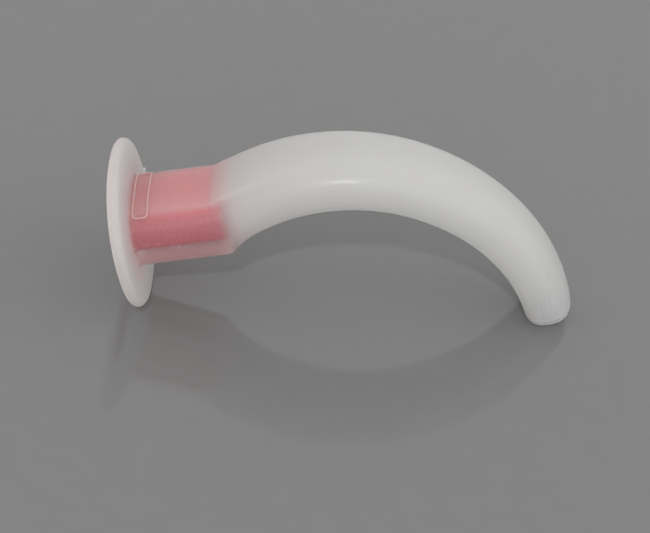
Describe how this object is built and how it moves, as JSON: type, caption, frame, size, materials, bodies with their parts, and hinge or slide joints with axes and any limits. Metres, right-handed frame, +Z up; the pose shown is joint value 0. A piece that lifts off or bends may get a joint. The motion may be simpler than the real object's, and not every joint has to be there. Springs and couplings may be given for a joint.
{
  "type": "oropharyngeal airway",
  "caption": "Curved see-through milky airway tube with an oval flange and a rigid pink sleeve in its straight bite section, standing on flange and tip.",
  "frame": {"origin": "on the floor under the middle of the part's box, the part standing on its flange's lower rim and its tip", "axes": "+X from the flange towards the tip, +Y across, +Z up; the bite section climbs 14.8 degrees towards +X"},
  "size_m": [0.0442, 0.0166, 0.0178],
  "materials": {
    "milky_body": "milky polyethylene, soft gloss",
    "pink_sleeve": "rigid pink plastic, satin"
  },
  "bodies": {
    "root": {"airway_body": "milky_body", "bite_sleeve": "pink_sleeve"}
  },
  "joints": []
}
